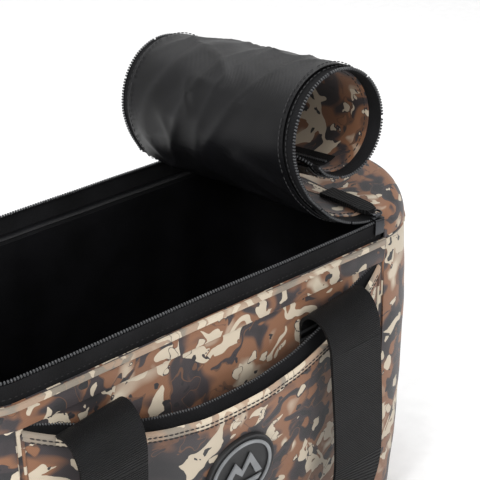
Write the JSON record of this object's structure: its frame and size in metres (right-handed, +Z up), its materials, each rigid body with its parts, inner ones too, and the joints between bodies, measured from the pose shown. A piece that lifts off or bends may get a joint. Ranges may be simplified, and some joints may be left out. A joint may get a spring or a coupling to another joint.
{
  "type": "insulated cooler bag",
  "caption": "Soft insulated cooler bag with a zipped lid rolled open to one end, a front pocket with round badge, carry handles and a shoulder strap.",
  "frame": {"origin": "on the floor below the middle of the bag's front, back and depth, at the base's flat face", "axes": "+X along the bag's length towards the end where the lid is hinged, +Y to the back, +Z up"},
  "size_m": [0.4711, 0.2963, 0.4147],
  "materials": {
    "printed_fabric": "woven polyester printed with tan, cream and dark brown patches, slight sheen",
    "base_fabric": "black coated polyester",
    "foam": "closed-cell polyethylene foam, matt",
    "lining": "black coated nylon, glossy with soft creases",
    "lid_laminate": "foam between printed polyester and black coated lining",
    "zipper_tape": "black twill tape, matt",
    "zipper_coil": "black nylon coil, glossy",
    "badge_rubber": "black moulded rubber, matt",
    "badge_relief": "raised grey rubber relief",
    "webbing": "black ribbed polyester webbing",
    "grip_fabric": "black padded sleeve",
    "black_metal": "black plated metal, semi-gloss",
    "black_plastic": "black moulded plastic, satin"
  },
  "bodies": {
    "bag": {"front_panel": "printed_fabric", "back_panel": "printed_fabric", "end_right_panel": "printed_fabric", "end_left_panel": "printed_fabric", "base_panel": "base_fabric", "foam_front": "foam", "foam_back": "foam", "foam_end_right": "foam", "foam_end_left": "foam", "foam_base": "foam", "liner": "lining", "rim_binding": "lining", "rim_hem": "printed_fabric", "rim_tape": "zipper_tape", "rim_coil": "zipper_coil", "end_deck": "printed_fabric", "pocket_panel": "printed_fabric", "pocket_hem": "printed_fabric", "pocket_zip_tape": "zipper_tape", "badge_disc": "badge_rubber", "badge_emblem": "badge_relief", "handle_front_anchors": "webbing", "handle_back_anchors": "webbing", "end_webbing_right": "webbing", "end_webbing_left": "webbing", "d_ring_right": "black_metal", "d_ring_left": "black_metal", "strap_hook_right": "black_plastic", "strap_hook_left": "black_plastic", "shoulder_strap": "webbing", "strap_adjuster": "black_plastic"},
    "lid_strip_01": {"lid_panel_01": "lid_laminate", "lid_tape_01": "zipper_tape"},
    "lid_strip_02": {"lid_panel_02": "lid_laminate", "lid_tape_02": "zipper_tape"},
    "lid_strip_03": {"lid_panel_03": "lid_laminate", "lid_tape_03": "zipper_tape"},
    "lid_strip_04": {"lid_panel_04": "lid_laminate", "lid_tape_04": "zipper_tape"},
    "lid_strip_05": {"lid_panel_05": "lid_laminate", "lid_tape_05": "zipper_tape"},
    "lid_strip_06": {"lid_panel_06": "lid_laminate", "lid_tape_06": "zipper_tape"},
    "lid_strip_07": {"lid_panel_07": "lid_laminate", "lid_tape_07": "zipper_tape"},
    "lid_strip_08": {"lid_panel_08": "lid_laminate", "lid_tape_08": "zipper_tape"},
    "lid_strip_09": {"lid_panel_09": "lid_laminate", "lid_tape_09": "zipper_tape"},
    "lid_strip_10": {"lid_panel_10": "lid_laminate", "lid_tape_10": "zipper_tape"},
    "handle_front_loop": {"handle_front": "webbing", "handle_front_grip": "grip_fabric"},
    "handle_back_loop": {"handle_back": "webbing", "handle_back_grip": "grip_fabric"},
    "zip_slider_front": {"slider_front": "black_metal"},
    "zip_pull_front": {"pull_front": "webbing"},
    "zip_slider_back": {"slider_back": "black_metal"},
    "zip_pull_back": {"pull_back": "webbing"}
  },
  "joints": [
    {"name": "lid_unroll", "type": "hinge", "parent": "bag", "child": "lid_strip_01", "pos_m": [0.14768, 0, 0.291], "axis": [0.1478, -0.989, 0], "range_deg": [0, 22]},
    {"name": "lid_fold_02", "type": "hinge", "parent": "lid_strip_01", "child": "lid_strip_02", "pos_m": [0.11239, 0.0004, 0.30508], "axis": [0.1478, -0.989, 0], "range_deg": [0, 24]},
    {"name": "lid_fold_03", "type": "hinge", "parent": "lid_strip_02", "child": "lid_strip_03", "pos_m": [0.09648, 0.00142, 0.32121], "axis": [0.0446, -0.9933, 0.1063], "range_deg": [0, 28]},
    {"name": "lid_fold_04", "type": "hinge", "parent": "lid_strip_03", "child": "lid_strip_04", "pos_m": [0.08507, 0.00499, 0.35939], "axis": [0.0446, -0.9933, 0.1063], "range_deg": [0, 46]},
    {"name": "lid_fold_05", "type": "hinge", "parent": "lid_strip_04", "child": "lid_strip_05", "pos_m": [0.10469, 0.00957, 0.39394], "axis": [0.0446, -0.9933, 0.1063], "range_deg": [0, 52]},
    {"name": "lid_fold_06", "type": "hinge", "parent": "lid_strip_05", "child": "lid_strip_06", "pos_m": [0.14421, 0.01196, 0.39969], "axis": [0.0446, -0.9933, 0.1063], "range_deg": [0, 52]},
    {"name": "lid_fold_07", "type": "hinge", "parent": "lid_strip_06", "child": "lid_strip_07", "pos_m": [0.17324, 0.01033, 0.37222], "axis": [0.0446, -0.9933, 0.1063], "range_deg": [0, 52]},
    {"name": "lid_fold_08", "type": "hinge", "parent": "lid_strip_07", "child": "lid_strip_08", "pos_m": [0.17022, 0.0068, 0.34056], "axis": [0.0446, -0.9933, 0.1063], "range_deg": [0, 54]},
    {"name": "lid_fold_09", "type": "hinge", "parent": "lid_strip_08", "child": "lid_strip_09", "pos_m": [0.1427, 0.00384, 0.3245], "axis": [0.0446, -0.9933, 0.1063], "range_deg": [0, 46]},
    {"name": "lid_fold_10", "type": "hinge", "parent": "lid_strip_09", "child": "lid_strip_10", "pos_m": [0.11574, 0.00344, 0.33203], "axis": [0.0446, -0.9933, 0.1063], "range_deg": [0, 32]},
    {"name": "handle_front_lift", "type": "hinge", "parent": "bag", "child": "handle_front_loop", "pos_m": [0.001, -0.139, 0.2495], "axis": [-1, 0, 0], "range_deg": [0, 180]},
    {"name": "handle_back_lift", "type": "hinge", "parent": "bag", "child": "handle_back_loop", "pos_m": [0.001, 0.1085, 0.2535], "axis": [1, 0, 0], "range_deg": [0, 165]},
    {"name": "zip_slide_front", "type": "slide", "parent": "bag", "child": "zip_slider_front", "axis": [-1, 0, 0], "range_m": [0, 0.326], "deforming": ["pull_front"]},
    {"name": "zip_pull_flip_front", "type": "hinge", "parent": "zip_slider_front", "child": "zip_pull_front", "pos_m": [0.1695, -0.101, 0.294], "axis": [1, 0, 0], "range_deg": [0, 190], "deforming": ["pull_front"]},
    {"name": "zip_slide_back", "type": "slide", "parent": "bag", "child": "zip_slider_back", "axis": [-1, 0, 0], "range_m": [0, 0.326], "deforming": ["pull_back"]},
    {"name": "zip_pull_flip_back", "type": "hinge", "parent": "zip_slider_back", "child": "zip_pull_back", "pos_m": [0.1695, 0.101, 0.294], "axis": [-1, 0, 0], "range_deg": [0, 190], "deforming": ["pull_back"]}
  ],
  "couplings": [
    {"joint": "lid_fold_02", "follows": "lid_unroll", "ratio": 1.0909},
    {"joint": "lid_fold_03", "follows": "lid_unroll", "ratio": 1.2727},
    {"joint": "lid_fold_04", "follows": "lid_unroll", "ratio": 2.0909},
    {"joint": "lid_fold_05", "follows": "lid_unroll", "ratio": 2.3636},
    {"joint": "lid_fold_06", "follows": "lid_unroll", "ratio": 2.3636},
    {"joint": "lid_fold_07", "follows": "lid_unroll", "ratio": 2.3636},
    {"joint": "lid_fold_08", "follows": "lid_unroll", "ratio": 2.4545},
    {"joint": "lid_fold_09", "follows": "lid_unroll", "ratio": 2.0909},
    {"joint": "lid_fold_10", "follows": "lid_unroll", "ratio": 1.4545}
  ]
}
